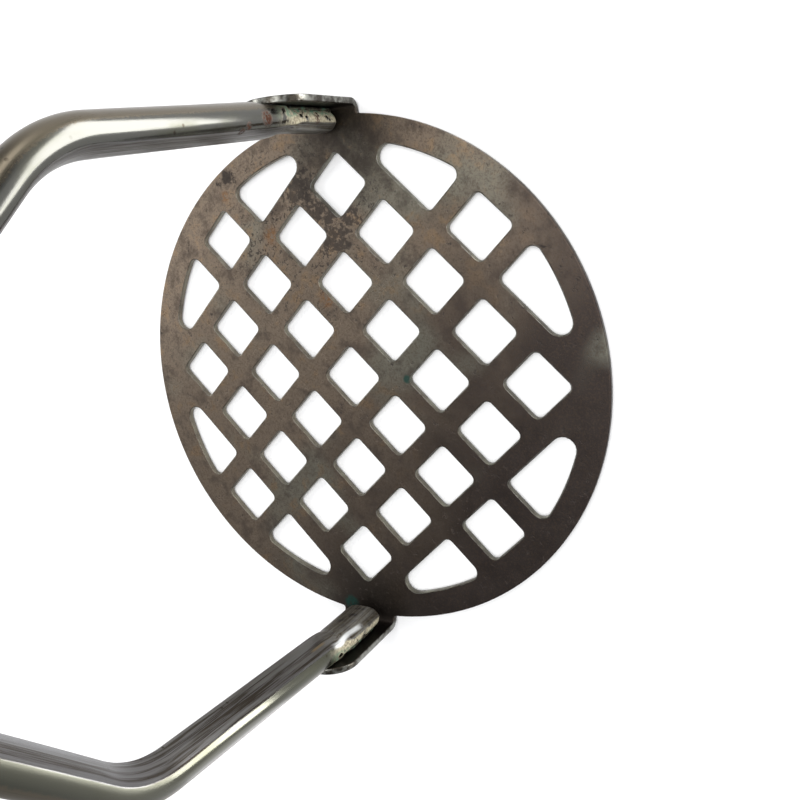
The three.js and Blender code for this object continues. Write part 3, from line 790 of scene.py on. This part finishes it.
def plate_sheet():
    """The pressing as one closed flat sheet, with a mask of its cut walls. Each outline carries a rounded
    edge profile from top to bottom, and both faces are triangulated between the profiles' ends."""
    rounding = sizes().edge_round / MM
    steps = np.linspace(0, np.pi / 2, 5)
    top_inset, top_z = rounding * (1 - np.sin(steps)), SHEET - rounding * (1 - np.cos(steps))
    inset = np.concatenate([[rounding + 0.1], top_inset, top_inset[::-1], [rounding + 0.1]])
    height = np.concatenate([[SHEET], top_z, SHEET - top_z[::-1], [0]])
    across_wall = np.sin(np.linspace(0, np.pi, len(inset))) ** 0.5
    outlines = [blank_outline()] + [outline[::-1] for outline in holes()]
    points, faces, walls, top, bottom = [], [], [], [], []
    first = 0
    for outline in outlines:
        rows = outline[None] - inset[:, None, None] * outward_normals(outline)[None]
        levels = np.broadcast_to(height[:, None, None], (*rows.shape[:2], 1))
        points.append(np.concatenate([rows, levels], -1).reshape(-1, 3))
        count = len(outline)
        faces.append(grid_faces(len(inset), count, first=first)[:, ::-1])
        ring = first + np.arange(count)
        top.append(ring)
        bottom.append(ring + (len(inset) - 1) * count)
        on_ear = smoothstep(EAR_BEND_START - 2, EAR_BEND_START + 2, np.abs(outline[:, 0]))
        walls.append(np.outer(across_wall, np.ones(count) if len(walls) else 0.5 * on_ear).ravel())
        first += len(inset) * count
    flat = np.concatenate(points)
    rim = np.concatenate(top)
    border = flat[rim, :2]
    fill = fill_points(border, outlines)
    triangles = face_triangles(border, fill, np.cumsum([0] + [len(t) for t in top]))
    fill_top = first + np.arange(len(fill))
    upper = np.concatenate([rim, fill_top])
    lower = np.concatenate([*bottom, fill_top + len(fill)])
    points = np.concatenate([flat, *[np.column_stack([fill, np.full(len(fill), z)]) for z in (SHEET, 0)]])
    walls = np.concatenate(walls + [np.zeros(2 * len(fill))])
    return points, [np.concatenate(faces), upper[triangles], lower[triangles[:, ::-1]]], walls


class MASHER_OT_plate(bpy.types.Operator):
    """The mashing plate with its two ears"""

    bl_idname = "masher.plate"
    bl_label = "Mashing plate"

    def execute(self, context):
        points, faces, walls = plate_sheet()
        lift = sizes().plate_waves / MM
        bent = bend_ears(points)
        from_rim = PLATE_RADIUS - np.hypot(*bent[:, :2].T)
        bent[:, 2] += lift * (1 + waves(bent, 26, seed=3)) * smoothstep(0, 8, from_rim)
        make_piece("pierced_plate", bent, faces, plate_finish(), "mashing_plate", "plate_steel", wall=walls)
        return {"FINISHED"}


# ---- rods ------------------------------------------------------------------


def ear_face(z):
    """x of the +X ear's inner face at a height."""
    rise = z - SHEET - EAR_INNER_BEND
    return EAR_BEND_START + EAR_INNER_BEND * math.cos(EAR_LEAN) - rise * math.tan(EAR_LEAN)


def rod_path(foot):
    """(x, z) along the +X rod's widest line, from the foot of its flattened end to the top of its tang.

    The lower leg blends from the line beside the ear into the leaning leg; then come an arc, a straight, an
    arc the other way and the upright tang."""
    lower = np.array([-math.sin(LEG_LEAN), math.cos(LEG_LEAN)])
    upper = np.array([-math.sin(SHOULDER_ANGLE), math.cos(SHOULDER_ANGLE)])
    cut = SHOULDER_BEND * math.tan((SHOULDER_ANGLE - LEG_LEAN) / 2)
    neck = SHOULDER + upper * (SHOULDER[0] - NECK_X) / math.sin(SHOULDER_ANGLE)
    neck_cut = NECK_BEND * math.tan(SHOULDER_ANGLE / 2)
    leg_top = SHOULDER - cut * lower
    close_steps = foot + 3.2 * np.linspace(0, 1, 26) ** 2
    heights = np.concatenate([close_steps, np.linspace(foot + 3.6, leg_top[1], 90)])
    beside = ear_face(heights) - JOINT_GAP - PADDLE_OUTER_DEPTH
    leaning = SHOULDER[0] + (SHOULDER[1] - heights) * math.tan(LEG_LEAN)
    share = smoothstep(PADDLE_TAPER_START - 1.5, PADDLE_TOP + 2.5, heights)
    leg = np.stack([beside + (leaning - beside) * share, heights], -1)
    bend_centre = leg_top - SHOULDER_BEND * np.array([math.cos(LEG_LEAN), math.sin(LEG_LEAN)])
    bend = arc(bend_centre, SHOULDER_BEND, LEG_LEAN, SHOULDER_ANGLE, 22)[1:]
    neck_start = neck - neck_cut * upper
    slope = bend[-1] + (neck_start - bend[-1]) * np.linspace(0, 1, 30)[1:, None]
    neck_centre = (NECK_X + NECK_BEND, neck[1] + neck_cut)
    neck_arc = arc(neck_centre, NECK_BEND, np.pi + SHOULDER_ANGLE, np.pi, 20)[1:]
    tang = np.stack([np.full(40, NECK_X), np.linspace(neck_arc[-1, 1], TANG_TOP, 41)[1:]], -1)
    return np.concatenate([leg, bend, slope, neck_arc, tang])


def half_lines(count):
    """Steps from 0 to 1, with two close steps at each end that keep the section's corners crisp."""
    return np.concatenate([[0, 0.012], np.linspace(0.04, 0.96, count - 4), [0.988, 1]])


def paddle_section(outer_step, inner_step):
    """(across, out) round the flattened end: a half ellipse outside and a nearly flat face inside."""
    angle = np.pi * outer_step
    outside = [-np.cos(angle) * PADDLE_HALF_WIDTH, PADDLE_OUTER_DEPTH * np.sin(angle) ** 0.9]
    outside = np.stack(outside, -1)
    across = 1 - 2 * inner_step
    inside_face = np.stack([across * PADDLE_HALF_WIDTH, -PADDLE_INNER_DEPTH * (1 - np.abs(across) ** 4)], -1)
    return np.concatenate([outside, inside_face])


def rod_section(outer_step, inner_step):
    """(across, out) round the rod: a circle with a slightly crowned chord across its inner side."""
    start = 1.5 * np.pi - ROD_CORNER
    angle = start + (2 * ROD_CORNER - 2 * np.pi) * outer_step
    outside = np.stack([np.cos(angle), np.sin(angle)], -1) * ROD_RADIUS + (0, ROD_CENTRE)
    across = 1 - 2 * inner_step
    chord = ROD_RADIUS * math.sin(ROD_CORNER)
    inside_face = np.stack([across * chord, -ROD_INNER_DEPTH - ROD_CROWN * (1 - across**2)], -1)
    return np.concatenate([outside, inside_face])


def rod_surface(side):
    """The rod as a section carried along its path, blended from the paddle's to the rod's over the taper. The
    rod's own section is turned about its centre, rather more on the slope, until it nears the neck, and the
    two rods mirror each other in this."""
    path = rod_path(PADDLE_FOOT[side])
    outward = right_of(unit_steps(path))
    along = np.concatenate([[0], np.cumsum(np.linalg.norm(np.diff(path, axis=0), axis=1))])
    height = path[:, 1]
    outer_step, inner_step = half_lines(44), half_lines(24)[1:-1]
    paddle, rod = paddle_section(outer_step, inner_step), rod_section(outer_step, inner_step)
    to_rod = smoothstep(PADDLE_TAPER_START, PADDLE_TOP, height)[:, None]
    leg = to_rod * smoothstep(*TWIST_END, height)[:, None]
    twist = TURNS[side] * leg * (ROD_TWIST + SLOPE_TWIST * smoothstep(*TWIST_RISE, height)[:, None])
    across, out = rod[:, 0][None], rod[:, 1][None] - ROD_CENTRE
    turned_across = across * np.cos(twist) + out * np.sin(twist) - ROD_SHIFT * leg
    turned_out = out * np.cos(twist) - across * np.sin(twist) + ROD_CENTRE
    corner = FOOT_CORNER[side]
    foot_gap = np.clip(along, 0, corner)
    foot_inset = corner - np.sqrt(corner**2 - (corner - foot_gap) ** 2)
    narrowing = 1 - 0.97 * foot_inset[:, None] / PADDLE_HALF_WIDTH
    edge = np.clip(along / PADDLE_EDGE, 0, 1)
    rounding = (np.sqrt(1 - (1 - edge) ** 2) * 0.92 + 0.08 * edge)[:, None]
    across = paddle[:, 0] * narrowing * (1 - to_rod) + turned_across * to_rod
    out = paddle[:, 1] * rounding * (1 - to_rod) + turned_out * to_rod
    clear_of_ear = 1.2 * smoothstep(EAR_HEIGHT + 0.2, EAR_HEIGHT + 5, height)
    seat = ear_face(height) - JOINT_GAP - path[:, 0] + clear_of_ear
    on_ear = (height < EAR_HEIGHT + 5)[:, None]
    out = np.where(on_ear & (out > seat[:, None]), seat[:, None], out)
    flow = np.stack([across, out, np.broadcast_to(along[:, None], across.shape)], -1)
    unevenness = waves(flow.reshape(-1, 3) * (1, 1, 0.4), 7, seed=5).reshape(across.shape)
    out = out + unevenness * sizes().rod_waves / MM * np.sign(out - 0.2)
    grid = np.stack([path[:, :1] + outward[:, :1] * out, across, path[:, 1:] + outward[:, 1:] * out], -1)
    last_outer = len(outer_step) - 1
    is_inner = (np.arange(len(paddle)) > last_outer).astype(float)
    is_inner[[0, last_outer]] = 0.5
    inner_mask = np.broadcast_to(is_inner, across.shape)
    foot_mask = smoothstep(PADDLE_TOP + 3.5, PADDLE_TAPER_START + 1, height)[:, None] * (1 - 0.8 * inner_mask)
    return grid, flow, inner_mask, foot_mask


class MASHER_OT_rods(bpy.types.Operator):
    """The two D-shaped rods, pressed thinner where they meet the ears"""

    bl_idname = "masher.rods"
    bl_label = "Rods"

    def execute(self, context):
        finish = rod_finish()
        for side, turn in TURNS.items():
            grid, flow, inner, foot = rod_surface(side)
            points, faces = capped_tube(grid * (turn, turn, 1))
            ends = np.array([flow[0].mean(0), flow[-1].mean(0)])
            flow = np.concatenate([flow.reshape(-1, 3), ends]) + (0, 0, PATTERN_START[side])
            inner, foot = [np.concatenate([m.ravel(), [m[0].mean(), m[-1].mean()]]) for m in (inner, foot)]
            attributes = {"flow": flow, "inner": inner, "foot": foot}
            name = f"half_round_rod_{side}"
            make_piece(name, points, faces, finish, f"rod_{side}", "rod_steel", **attributes)
        return {"FINISHED"}


# ---- brazing ---------------------------------------------------------------


def braze_bead(side):
    """A lumpy bead round the flattened end: a small ellipse carried along a U beside the paddle's edge."""
    foot = PADDLE_FOOT[side]
    half = PADDLE_HALF_WIDTH - 1.5
    corner = 1.7
    top = EAR_HEIGHT - EAR_HALF_WIDTH
    arc_height = foot + 0.35 + corner
    steps = 26
    left = np.stack([np.full(steps, -half), np.linspace(top, arc_height, steps + 1)[:-1]], -1)
    right = np.stack([np.full(steps, half), np.linspace(arc_height, top, steps + 1)[1:]], -1)
    left_turn = arc((-half + corner, arc_height), corner, np.pi, 1.5 * np.pi, 12)
    right_turn = arc((half - corner, arc_height), corner, 1.5 * np.pi, 2 * np.pi, 12)
    path = np.concatenate([left, left_turn, right_turn, right])
    outward = right_of(unit_steps(path))
    sides = 16
    angle = np.arange(sides) * 2 * np.pi / sides
    t = np.linspace(0, 1, len(path))
    taper = np.sqrt(np.clip(np.minimum(t, 1 - t) * 12, 0.02, 1))
    lumps = 1 + 0.16 * waves(np.column_stack([path, 0 * t]) + (0, 0, foot), 2.6, seed=11)
    wide = (BRAZE_WIDTH * taper * lumps)[:, None]
    deep = (BRAZE_DEPTH * taper * lumps)[:, None]
    y = path[:, :1] + outward[:, :1] * wide * np.cos(angle)
    z = path[:, 1:] + outward[:, 1:] * wide * np.cos(angle)
    x = ear_face(z) - BRAZE_LIFT - deep * np.sin(angle)
    return np.stack([x, y, z], -1)


class MASHER_OT_brazing(bpy.types.Operator):
    """The brazing between each rod's flattened end and its ear"""

    bl_idname = "masher.brazing"
    bl_label = "Brazing"

    def execute(self, context):
        finish = braze_finish()
        for side, turn in TURNS.items():
            points, faces = capped_tube(braze_bead(side) * (turn, turn, 1))
            make_piece(f"braze_bead_{side}", points, faces, finish, f"brazing_{side}", "brazing")
        return {"FINISHED"}


# ---- handle ----------------------------------------------------------------

GRIP_START = FERRULE_TOP + 0.4
GRIP_POINTS = np.array(
    [
        (9.6, GRIP_START),
        (10.6, 132),
        (13.2, 148),
        (14.4, 166),
        (13.2, 184),
        (11.4, 199),
        (12.2, 210),
        (12.7, 216),
        (11.2, 222),
        (7.4, 225.2),
        (3.2, HANDLE_TOP),
    ]
)
GROOVES = (129.2, 131.0, 203.5)
GROOVE_WIDTH = 0.28


def grip_curve(count):
    """A uniform Catmull-Rom curve through the grip's points, the end points doubled."""
    p = np.concatenate([GRIP_POINTS[:1], GRIP_POINTS, GRIP_POINTS[-1:]])
    t = np.linspace(0, len(GRIP_POINTS) - 1 - 1e-9, count)
    i = t.astype(int)
    u = (t - i)[:, None]
    a, b, c, d = p[i], p[i + 1], p[i + 2], p[i + 3]
    return b + 0.5 * u * (c - a + u * (2 * a - 5 * b + 4 * c - d + u * (3 * (b - c) + d - a)))


class MASHER_OT_handle(bpy.types.Operator):
    """The turned wooden handle, with three scribed lines"""

    bl_idname = "masher.handle"
    bl_label = "Wooden handle"

    def execute(self, context):
        grip = grip_curve(420)
        groove = sum(np.exp(-(((grip[:, 1] - z) / GROOVE_WIDTH) ** 2)) for z in GROOVES)
        grip[:, 0] -= groove * sizes().groove_depth / MM
        spigot = FERRULE_RADIUS - 1.1
        pilot = EYE_WIRE + 0.15
        low, high = HANDLE_BOTTOM, HANDLE_TOP
        start = [(0, low), (spigot - 0.3, low), (spigot, low + 0.3), (spigot, GRIP_START)]
        end = [(2.0, high), (pilot + 0.3, high - 0.05), (pilot, high - 0.4), (0, high - 2)]
        points, faces = lathe(np.concatenate([start, grip, end]), TURNED_SIDES)
        radius = np.hypot(points[:, 0], points[:, 1])
        on_grip = smoothstep(GRIP_START, GRIP_START + 3, points[:, 2])
        wobble = 0.06 * waves(points * (1, 1, 0.15), 24, seed=8) * on_grip
        points[:, :2] *= (1 + wobble / np.maximum(radius, 1))[:, None]
        mask = np.concatenate([np.zeros(len(start) - 1), groove, np.zeros(len(end) - 1)])
        groove = np.clip(np.concatenate([np.repeat(mask, TURNED_SIDES), [0, 0]]), 0, 1)
        make_piece("turned_handle", points, faces, wood_finish(), "wooden_handle", "wood", groove=groove)
        return {"FINISHED"}


class MASHER_OT_ferrule(bpy.types.Operator):
    """The ferrule: a drawn steel cup with a bead and a rolled lip"""

    bl_idname = "masher.ferrule"
    bl_label = "Ferrule"

    def execute(self, context):
        low, high = FERRULE_BOTTOM, FERRULE_TOP
        radius, wall, corner, mouth = FERRULE_RADIUS, 0.8, 1.6, 5.2
        side = np.linspace(low + corner, high - 2.2, 60)
        bead = 0.32 * np.exp(-(((side - high + 4.6) / 0.5) ** 2))
        groove = 0.25 * np.exp(-(((side - low - 4.2) / 0.35) ** 2))
        outside = np.stack([radius + (bead - groove), side], -1)
        lip = arc((radius - 0.2, high - 0.75), 0.7, -np.pi / 2, np.pi / 2, 14)
        inside_wall = np.array([(radius - wall, high - 0.2), (radius - wall, low + corner)])
        turn_in = arc((radius - corner, low + corner), corner - wall, 0, -np.pi / 2, 8)[1:]
        turn_out = arc((radius - corner, low + corner), corner, -np.pi / 2, 0, 14)[:-1]
        rim = arc((mouth + 0.4, low + wall / 2), wall / 2, np.pi / 2, 1.5 * np.pi, 9)
        outline = np.concatenate([turn_out, outside, lip, inside_wall, turn_in, rim])
        points = turned(outline, TURNED_SIDES).reshape(-1, 3)
        faces = [grid_faces(len(outline), TURNED_SIDES, closed_rows=True)]
        plated_piece("drawn_ferrule", points, faces, "ferrule")
        return {"FINISHED"}


class MASHER_OT_rivets(bpy.types.Operator):
    """The two pins through the handle, their ends peened into low domes"""

    bl_idname = "masher.rivets"
    bl_label = "Rivets"

    def execute(self, context):
        for node, z in RIVET_HEIGHTS.items():
            half = box_mm(node)[1][0]
            dome = np.linspace(0, np.pi / 2, 8)
            cap = np.stack([RIVET_RADIUS * np.sin(dome), half - 0.55 + 0.55 * np.cos(dome)], -1)
            profile = np.concatenate([cap * (1, -1), [(RIVET_RADIUS, 0)], cap[::-1]])
            points, faces = lathe(profile, 32)
            points = points[:, [2, 1, 0]] * (1, 1, -1) + (0, 0, z)
            on_dome = smoothstep(half - 0.6, half, np.abs(points[:, 0]))
            points[:, 0] += 0.03 * waves(points, 1.2, seed=int(z)) * on_dome
            plated_piece(f"peened_{node}", points, faces, node)
        return {"FINISHED"}


# ---- hanging eye and ring --------------------------------------------------


def round_wire(path, radius, across, closed=False, sides=20):
    """A circle carried along a path that lies in one plane. Across is the plane's unit normal."""
    normal = np.cross(across, unit_steps(path, closed))[:, None]
    angle = (np.arange(sides) * 2 * np.pi / sides)[None, :, None]
    radius = np.broadcast_to(radius, len(path))[:, None, None]
    return path[:, None] + radius * (normal * np.cos(angle) + np.asarray(across) * np.sin(angle))


class MASHER_OT_eye(bpy.types.Operator):
    """The screw eye: one wire that rises from the handle and turns round into a loop"""

    bl_idname = "masher.eye"
    bl_label = "Screw eye"

    def execute(self, context):
        low, high = box_mm("screw_eye")
        centre = high[2] - EYE_LOOP - EYE_WIRE
        shank_z = np.linspace(low[2], centre - EYE_LOOP - 0.55, 60)
        shank = np.stack([0 * shank_z, 0 * shank_z, shank_z], -1)
        turn = np.linspace(-np.pi / 2 + 0.12, 1.5 * np.pi - 0.10, 110)
        loop = np.stack([0 * turn, EYE_LOOP * np.cos(turn), centre + EYE_LOOP * np.sin(turn)], -1)
        path = np.concatenate([shank, loop])
        taper = np.clip((shank_z - low[2]) / 4, 0.06, 1)
        thread_depth, thread_pitch = 0.16, 0.9
        thread = thread_depth * (0.5 + 0.5 * np.sin(shank_z * 2 * np.pi / thread_pitch))
        thread = thread * (shank_z < HANDLE_TOP - 2)
        radius = np.concatenate([EYE_WIRE * taper - thread * taper, np.full(len(loop), EYE_WIRE)])
        radius[-3:] *= (0.98, 0.9, 0.7)
        points, faces = capped_tube(round_wire(path, radius, (1.0, 0.0, 0.0)))
        plated_piece("wire_screw_eye", points, faces, "screw_eye")
        return {"FINISHED"}


class MASHER_OT_ring(bpy.types.Operator):
    """The hanging ring, lying against the handle, with its butted ends at the bottom"""

    bl_idname = "masher.ring"
    bl_label = "Hanging ring"

    def execute(self, context):
        turn = np.arange(180) * 2 * np.pi / 180
        flat = np.stack([RING_LOOP * np.sin(turn), -RING_LOOP * (1 - np.cos(turn)), 0 * turn], -1)
        seam = np.exp(-(((turn - np.pi) / 0.02) ** 2))
        grid = round_wire(flat, RING_WIRE * (1 - 0.3 * seam), (0.0, 0.0, 1.0), closed=True)
        tilt = np.array(Matrix.Rotation(RING_REST, 3, "X"))
        points = grid.reshape(-1, 3) @ tilt.T + RING_PIVOT
        faces = [grid_faces(len(turn), grid.shape[1], closed_rows=True)]
        plated_piece("wire_ring", points, faces, "hanging_ring", body="ring")
        return {"FINISHED"}


# ---- stage -----------------------------------------------------------------

CAMERA_PLACE = (26.996, -68.832, 113.742)  # near the handle's neck, looking down past the legs
CAMERA_LOOK = (-0.16443, 0.52335, -0.8361)
CAMERA_UP = (0.98168, 0.00407, -0.19051)
CAMERA_LENS = 36.70
CAMERA_SHIFT = (0.0772, -0.0646)

# Name, place, target, width, height and watts.
LIGHTS = (
    ("overhead", (150, -150, 900), (0, 0, 0), 800, 800, 8),
    ("right_window", (900, -150, 260), (0, 0, 60), 300, 520, 2),
    ("front_strip", (60, -800, 230), (0, 0, 20), 500, 70, 0.9),
    ("back_strip", (200, 900, 600), (0, 0, 80), 700, 300, 4),
)
# Name, place on the floor, width, depth, turn in degrees, watts and colour.
FLOOR_CARDS = (
    ("card_right", (81, -80), 90, 95, -10, 0.27, (1, 1, 1)),
    ("card_left", (-46, -58), 34, 40, -12, 0.075, (1, 1, 1)),
    ("card_rim", (-97, -15), 42, 60, 0, 0.009, (0.93, 0.93, 1)),
)


def area_light(name, place, target, width, height, power, tint=(1, 1, 1)):
    """A soft rectangular light that faces a point. Places in millimetres."""
    data = bpy.data.lights.new(name, "AREA")
    data.shape, data.size, data.size_y = "RECTANGLE", width * MM, height * MM
    data.energy, data.color = power, tint
    light = bpy.data.objects.new(name, data)
    bpy.context.scene.collection.objects.link(light)
    light.location = Vector(place) * MM
    light.rotation_euler = (Vector(target) - Vector(place)).to_track_quat("-Z", "Y").to_euler()
    return light


def floor_card(name, place, width, depth, turn, power, tint):
    """A glowing card, flat on the floor and face up, that only the rods' highlights show. Millimetres."""
    card = area_light(name, (*place, 0.4), (*place, 9), width, depth, power, tint)
    card.rotation_euler = (math.pi, 0, math.radians(turn))
    card.visible_camera = False


class MASHER_OT_stage(bpy.types.Operator):
    """The pale floor, the soft lights and the camera"""

    bl_idname = "masher.stage"
    bl_label = "Stage"

    def execute(self, context):
        scene = context.scene
        scene.view_settings.view_transform = "Standard"
        floor_mesh = bpy.data.meshes.new("floor")
        reach = 6.0
        corners = [(-reach, -reach, 0), (reach, -reach, 0), (reach, reach, 0), (-reach, reach, 0)]
        floor_mesh.from_pydata(corners, [], [(0, 1, 2, 3)])
        floor = bpy.data.objects.new("floor", floor_mesh)
        scene.collection.objects.link(floor)
        floor.location.z = -0.2 * MM
        paint = Finish("pale_floor", Base_Color=(*finishes().floor, 1), Roughness=0.9, Emission_Strength=0.12)
        floor_mesh.materials.append(paint.material)
        world = bpy.data.worlds.new("studio")
        world.use_nodes = True
        background = world.node_tree.nodes["Background"]
        background.inputs["Color"].default_value = (0.95, 0.97, 1.0, 1)
        background.inputs["Strength"].default_value = 0.42
        scene.world = world
        for light in LIGHTS:
            area_light(*light)
        for card in FLOOR_CARDS:
            floor_card(*card)
        data = bpy.data.cameras.new("camera")
        data.sensor_width, data.lens = 36, CAMERA_LENS
        data.shift_x, data.shift_y = CAMERA_SHIFT
        data.clip_start, data.clip_end = 0.005, 20
        camera = bpy.data.objects.new("camera", data)
        scene.collection.objects.link(camera)
        look, up = Vector(CAMERA_LOOK).normalized(), Vector(CAMERA_UP)
        right = look.cross(up).normalized()
        turn = Matrix((right, right.cross(look), -look)).transposed().to_4x4()
        camera.matrix_world = Matrix.Translation(Vector(CAMERA_PLACE) * MM) @ turn
        scene.camera = camera
        return {"FINISHED"}


# ---- add-on ----------------------------------------------------------------

BUILD_ORDER = (
    MASHER_OT_stage,
    MASHER_OT_plate,
    MASHER_OT_rods,
    MASHER_OT_brazing,
    MASHER_OT_ferrule,
    MASHER_OT_handle,
    MASHER_OT_rivets,
    MASHER_OT_eye,
    MASHER_OT_ring,
)


class MASHER_PT_panel(bpy.types.Panel):
    """The masher's sizes, colours and pieces"""

    bl_label = "Masher"
    bl_idname = "MASHER_PT_panel"
    bl_space_type = "VIEW_3D"
    bl_region_type = "UI"
    bl_category = "Masher"

    def draw(self, context):
        for group in (context.scene.masher_sizes, context.scene.masher_finishes):
            box = self.layout.box()
            for name in group.__annotations__:
                box.prop(group, name)
        for operator in BUILD_ORDER:
            self.layout.operator(operator.bl_idname)


CLASSES = (MasherSizes, MasherFinishes, *BUILD_ORDER, MASHER_PT_panel)


def register():
    for cls in CLASSES:
        bpy.utils.register_class(cls)
    bpy.types.Scene.masher_sizes = PointerProperty(type=MasherSizes)
    bpy.types.Scene.masher_finishes = PointerProperty(type=MasherFinishes)


def unregister():
    del bpy.types.Scene.masher_finishes
    del bpy.types.Scene.masher_sizes
    for cls in reversed(CLASSES):
        bpy.utils.unregister_class(cls)


def main():
    register()
    for operator in BUILD_ORDER:
        group, name = operator.bl_idname.split(".")
        getattr(getattr(bpy.ops, group), name)()


if __name__ == "__main__":
    main()
